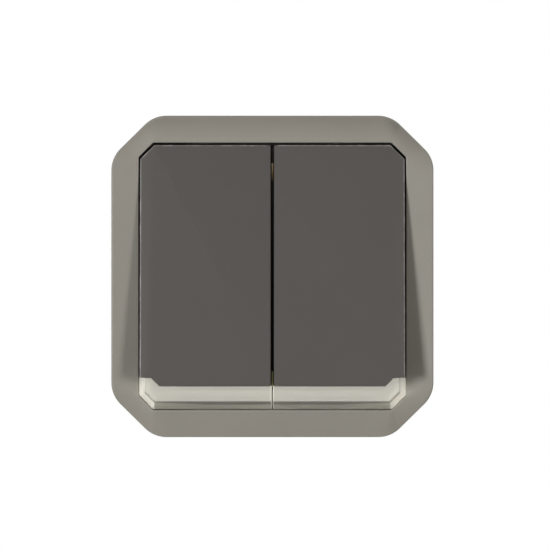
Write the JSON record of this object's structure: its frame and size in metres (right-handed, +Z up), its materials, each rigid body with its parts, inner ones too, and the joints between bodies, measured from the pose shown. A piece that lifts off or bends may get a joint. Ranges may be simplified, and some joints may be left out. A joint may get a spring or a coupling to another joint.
{
  "type": "double rocker wall switch",
  "caption": "Splash-proof flush wall switch module with two light-barred rockers in an eight-sided bezel and a snap-in switch mechanism behind.",
  "frame": {"origin": "Middle of the bezel, in the plane where the back of the bezel and its gasket seat on the wall box (y = 0).", "axes": "+Z is up as the switch hangs on the wall, the rockers face -Y, and +Y goes into the wall; the switch is mirror-symmetric in X."},
  "size_m": [0.066, 0.0394, 0.066],
  "materials": {
    "bezel_grey": "moulded, very fine spark-eroded texture, warm mid grey",
    "rocker_anthracite": "moulded, fine matt texture, anthracite",
    "clear_lens": "clear polycarbonate, polished",
    "white_diffuser": "white, light-scattering",
    "seal_rubber": "black sealing rubber",
    "membrane_silicone": "soft dark grey silicone",
    "chassis_polyamide": "glass-filled polyamide, black",
    "case_polyamide": "glass-filled polyamide, grey",
    "actuator_white": "natural acetal",
    "release_orange": "orange, smooth",
    "brass": "stamped strip",
    "contact_silver": "silver-plated copper alloy",
    "spring_steel": "stainless spring strip and wire",
    "zinc_steel": "zinc-plated steel",
    "board_green": "solder mask on a circuit board",
    "led_clear": "clear resin"
  },
  "bodies": {
    "base": {"bezel": "bezel_grey", "bezel_gasket": "seal_rubber", "chassis": "chassis_polyamide", "membrane": "membrane_silicone", "mechanism_cover": "case_polyamide", "housing": "case_polyamide", "case_screw_1": "zinc_steel", "case_screw_2": "zinc_steel", "case_screw_3": "zinc_steel", "case_screw_4": "zinc_steel", "axle_left": "zinc_steel", "contact_upper_left": "brass", "contact_lower_left": "brass", "contact_common_left": "brass", "clamp_spring_upper_left": "spring_steel", "clamp_spring_lower_left": "spring_steel", "clamp_spring_common_left": "spring_steel", "lamp_board_left": "board_green", "lamp_led_left": "led_clear", "axle_right": "zinc_steel", "contact_upper_right": "brass", "contact_lower_right": "brass", "contact_common_right": "brass", "clamp_spring_upper_right": "spring_steel", "clamp_spring_lower_right": "spring_steel", "clamp_spring_common_right": "spring_steel", "lamp_board_right": "board_green", "lamp_led_right": "led_clear"},
    "rocker_left": {"rocker_left": "rocker_anthracite", "lens_left": "clear_lens", "diffuser_left": "white_diffuser", "actuator_left": "actuator_white", "toggle_spring_left": "spring_steel"},
    "moving_contact_left": {"moving_contact_left": "contact_silver"},
    "release_button_upper_left": {"release_button_upper_left": "release_orange"},
    "release_button_lower_left": {"release_button_lower_left": "release_orange"},
    "release_button_common_left": {"release_button_common_left": "release_orange"},
    "rocker_right": {"rocker_right": "rocker_anthracite", "lens_right": "clear_lens", "diffuser_right": "white_diffuser", "actuator_right": "actuator_white", "toggle_spring_right": "spring_steel"},
    "moving_contact_right": {"moving_contact_right": "contact_silver"},
    "release_button_upper_right": {"release_button_upper_right": "release_orange"},
    "release_button_lower_right": {"release_button_lower_right": "release_orange"},
    "release_button_common_right": {"release_button_common_right": "release_orange"}
  },
  "joints": [
    {"name": "rocker_swing_left", "type": "hinge", "parent": "base", "child": "rocker_left", "pos_m": [-0.0137, -0.005, 0], "axis": [1, 0, 0], "range_deg": [0, 6], "deforming": ["toggle_spring_left"]},
    {"name": "rocker_swing_right", "type": "hinge", "parent": "base", "child": "rocker_right", "pos_m": [0.0137, -0.005, 0], "axis": [1, 0, 0], "range_deg": [0, 6], "deforming": ["toggle_spring_right"]},
    {"name": "contact_rock_left", "type": "hinge", "parent": "base", "child": "moving_contact_left", "pos_m": [-0.0115, 0.0155, 0], "axis": [1, 0, 0], "range_deg": [0, 10.01]},
    {"name": "contact_rock_right", "type": "hinge", "parent": "base", "child": "moving_contact_right", "pos_m": [0.0115, 0.0155, 0], "axis": [1, 0, 0], "range_deg": [0, 10.01]},
    {"name": "release_press_upper_left", "type": "slide", "parent": "base", "child": "release_button_upper_left", "axis": [0, -1, 0], "range_m": [0, 0.0012], "stiffness_N_per_m": 60, "springref_m": -0.002, "deforming": ["clamp_spring_upper_left"]},
    {"name": "release_press_lower_left", "type": "slide", "parent": "base", "child": "release_button_lower_left", "axis": [0, -1, 0], "range_m": [0, 0.0012], "stiffness_N_per_m": 60, "springref_m": -0.002, "deforming": ["clamp_spring_lower_left"]},
    {"name": "release_press_common_left", "type": "slide", "parent": "base", "child": "release_button_common_left", "axis": [0, -1, 0], "range_m": [0, 0.0012], "stiffness_N_per_m": 60, "springref_m": -0.002, "deforming": ["clamp_spring_common_left"]},
    {"name": "release_press_upper_right", "type": "slide", "parent": "base", "child": "release_button_upper_right", "axis": [0, -1, 0], "range_m": [0, 0.0012], "stiffness_N_per_m": 60, "springref_m": -0.002, "deforming": ["clamp_spring_upper_right"]},
    {"name": "release_press_lower_right", "type": "slide", "parent": "base", "child": "release_button_lower_right", "axis": [0, -1, 0], "range_m": [0, 0.0012], "stiffness_N_per_m": 60, "springref_m": -0.002, "deforming": ["clamp_spring_lower_right"]},
    {"name": "release_press_common_right", "type": "slide", "parent": "base", "child": "release_button_common_right", "axis": [0, -1, 0], "range_m": [0, 0.0012], "stiffness_N_per_m": 60, "springref_m": -0.002, "deforming": ["clamp_spring_common_right"]}
  ],
  "couplings": [
    {"joint": "contact_rock_left", "follows": "rocker_swing_left", "ratio": 1.6667},
    {"joint": "contact_rock_right", "follows": "rocker_swing_right", "ratio": 1.6667}
  ]
}
